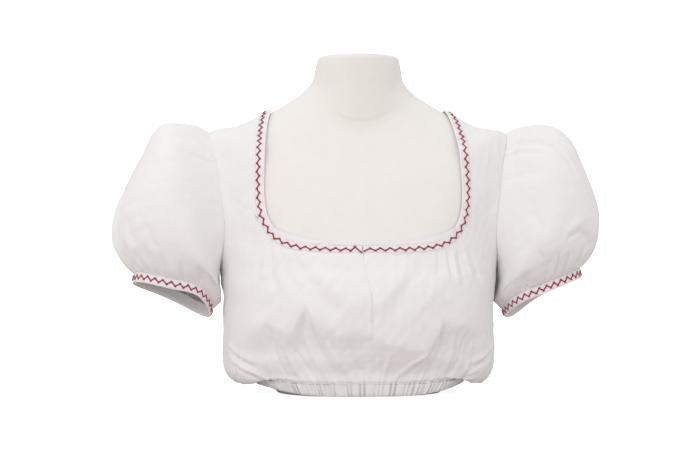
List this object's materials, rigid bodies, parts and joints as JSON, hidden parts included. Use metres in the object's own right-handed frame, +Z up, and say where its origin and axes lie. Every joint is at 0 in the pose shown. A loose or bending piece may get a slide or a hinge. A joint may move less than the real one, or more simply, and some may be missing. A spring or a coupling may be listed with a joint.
{
  "type": "cropped puff-sleeve blouse on a limbless bust form",
  "caption": "Cropped cotton blouse with a square neckline, short puff sleeves and an elastic hem, worn by a limbless bust form.",
  "frame": {"origin": "middle of the flat base of the bust form", "axes": "+X towards the wearer's left sleeve, the chest faces -Y, +Z up through the neck"},
  "size_m": [0.6589, 0.2614, 0.452],
  "materials": {
    "white_cotton": "plain woven cotton, matt, softly creased",
    "cream_jersey": "smooth stretched jersey cover, matt",
    "red_thread": "stranded embroidery thread, soft sheen"
  },
  "bodies": {
    "root": {"bust_form": "cream_jersey", "front_left": "white_cotton", "front_right": "white_cotton", "back": "white_cotton", "sleeve_left": "white_cotton", "sleeve_right": "white_cotton", "cuff_left": "white_cotton", "cuff_right": "white_cotton", "neckband_left": "white_cotton", "neckband_right": "white_cotton", "neckband_back": "white_cotton", "hem_casing": "white_cotton"}
  },
  "joints": []
}
